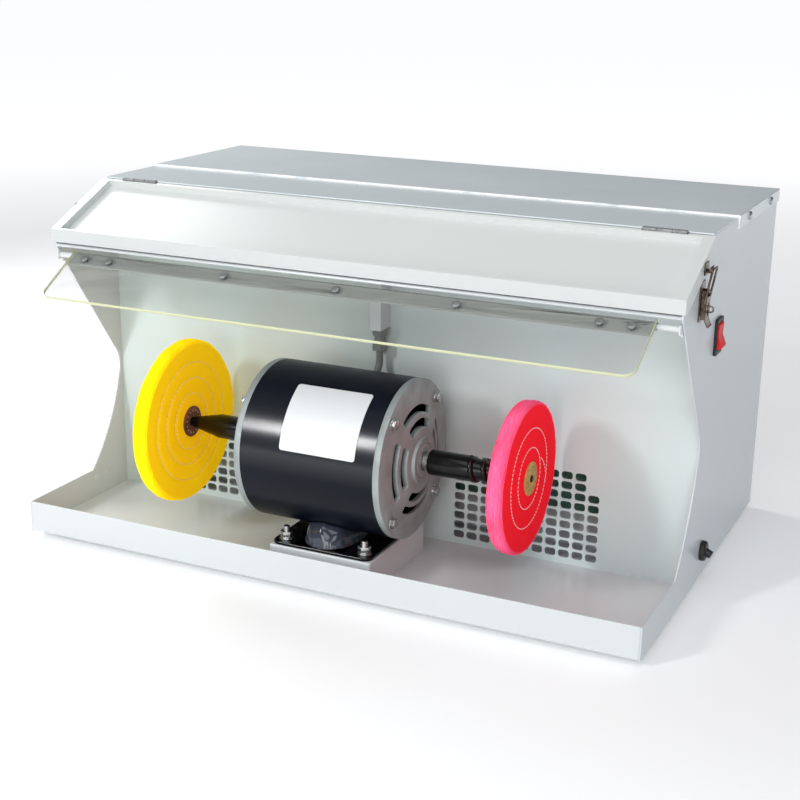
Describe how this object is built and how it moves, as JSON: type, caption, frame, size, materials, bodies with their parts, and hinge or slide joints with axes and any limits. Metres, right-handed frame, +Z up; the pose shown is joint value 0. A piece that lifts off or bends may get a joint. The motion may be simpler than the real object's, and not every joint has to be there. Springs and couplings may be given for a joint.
{
  "type": "bench polisher",
  "caption": "Bench polisher for jewellery: white sheet-metal cabinet with a hinged hood lid, clear shield, motor with tapered arbors and cloth buffs, suction fields and latches.",
  "frame": {"origin": "middle of the footprint at the underside of the rubber feet", "axes": "+X to the right for a user in front of the machine, +Y to the rear, +Z up"},
  "size_m": [0.612, 0.4028, 0.3225],
  "materials": {
    "white_paint": "semi-gloss light grey-white paint",
    "rubber_black": "matt black rubber",
    "zinc_steel": "zinc-plated steel",
    "latch_chrome": "bright plated steel",
    "switch_black": "black plastic",
    "switch_red": "glossy red plastic",
    "gland_grey": "grey nylon",
    "cable_grey": "grey cable sheath",
    "motor_enamel": "glossy dark blue-grey enamel",
    "black_enamel": "glossy black enamel",
    "cast_aluminium": "machined casting",
    "plate_aluminium": "blank satin plate",
    "core_iron": "bare lamination steel",
    "copper_wire": "enamelled copper",
    "bright_steel": "ground steel",
    "black_steel": "blackened steel",
    "yellow_cloth": "stitched yellow cotton",
    "red_cloth": "stitched red cotton",
    "brown_leather": "brown leather",
    "tan_leather": "tan leather",
    "clear_acrylic": "clear acrylic",
    "frame_grey": "grey paint",
    "filter_green": "dark green filter fleece",
    "fan_plastic": "dark grey plastic",
    "fan_aluminium": "satin casting"
  },
  "bodies": {
    "cabinet": {"base_tray": "white_paint", "left_side_panel": "white_paint", "right_side_panel": "white_paint", "baffle": "white_paint", "hood_floor": "white_paint", "hinge_strip": "white_paint", "top_cover": "white_paint", "rear_panel": "white_paint", "fan_partition": "white_paint", "motor_plinth": "white_paint", "wire_duct": "white_paint", "shield_brackets": "white_paint", "feet": "rubber_black", "cord_bush": "rubber_black", "cable_grommet": "rubber_black", "cabinet_screws": "zinc_steel", "hinge_leaves": "zinc_steel", "hinge_pins": "zinc_steel", "base_fasteners": "zinc_steel", "through_bolts": "zinc_steel", "latch_bases": "latch_chrome", "switch_housing": "switch_black", "cable_gland": "gland_grey", "motor_cable": "cable_grey", "motor_shell": "motor_enamel", "motor_base_plate": "black_enamel", "motor_saddle": "black_enamel", "left_end_bell": "cast_aluminium", "right_end_bell": "cast_aluminium", "nameplate": "plate_aluminium", "stator_core": "core_iron", "stator_windings": "copper_wire", "motor_bearings": "bright_steel", "filter_frame": "frame_grey", "fan_inlet_ring": "frame_grey", "fan_bracket": "frame_grey", "filter_mat": "filter_green", "fan_motor": "fan_aluminium"},
    "lid": {"lid": "white_paint", "lid_hinge_leaves": "zinc_steel", "latch_keepers": "latch_chrome"},
    "shield": {"shield": "clear_acrylic", "shield_strip": "white_paint", "shield_screws": "zinc_steel"},
    "rotor": {"motor_shaft": "bright_steel", "rotor_core": "core_iron", "cooling_fan": "fan_plastic", "left_arbor": "black_steel", "right_arbor": "black_steel", "arbor_set_screws": "black_steel", "yellow_buff": "yellow_cloth", "yellow_hub_discs": "brown_leather", "red_buff": "red_cloth", "red_hub_discs": "tan_leather"},
    "fan": {"fan_impeller": "fan_plastic"},
    "rocker": {"switch_rocker": "switch_red"},
    "left_lever": {"left_latch_lever": "latch_chrome"},
    "right_lever": {"right_latch_lever": "latch_chrome"},
    "left_loop": {"left_latch_loop": "latch_chrome"},
    "right_loop": {"right_latch_loop": "latch_chrome"}
  },
  "joints": [
    {"name": "rotor_spin", "type": "hinge", "parent": "cabinet", "child": "rotor", "pos_m": [0, -0.12535, 0.116], "axis": [1, 0, 0], "continuous": true},
    {"name": "fan_spin", "type": "hinge", "parent": "cabinet", "child": "fan", "pos_m": [0, 0.04765, 0.156], "axis": [0, 1, 0], "continuous": true},
    {"name": "lid_hinge", "type": "hinge", "parent": "cabinet", "child": "lid", "pos_m": [0, -0.05335, 0.32], "axis": [-1, 0, 0], "range_deg": [0, 130]},
    {"name": "shield_tilt", "type": "hinge", "parent": "cabinet", "child": "shield", "pos_m": [0, -0.13035, 0.2595], "axis": [-1, 0, 0], "range_deg": [-35, 27]},
    {"name": "rocker_tilt", "type": "hinge", "parent": "cabinet", "child": "rocker", "pos_m": [0.294, -0.01435, 0.228], "axis": [0, 1, 0], "range_deg": [0, 18]},
    {"name": "left_lever_swing", "type": "hinge", "parent": "cabinet", "child": "left_lever", "pos_m": [-0.2986, -0.08135, 0.279], "axis": [0, 1, 0], "range_deg": [0, 150]},
    {"name": "left_loop_swing", "type": "hinge", "parent": "left_lever", "child": "left_loop", "pos_m": [-0.2994, -0.08135, 0.271], "axis": [0, 1, 0], "range_deg": [-165, 0]},
    {"name": "right_lever_swing", "type": "hinge", "parent": "cabinet", "child": "right_lever", "pos_m": [0.2986, -0.08135, 0.279], "axis": [0, -1, 0], "range_deg": [0, 150]},
    {"name": "right_loop_swing", "type": "hinge", "parent": "right_lever", "child": "right_loop", "pos_m": [0.2994, -0.08135, 0.271], "axis": [0, -1, 0], "range_deg": [-165, 0]}
  ],
  "couplings": [
    {"joint": "left_loop_swing", "follows": "left_lever_swing", "ratio": -1.1},
    {"joint": "right_loop_swing", "follows": "right_lever_swing", "ratio": -1.1}
  ]
}
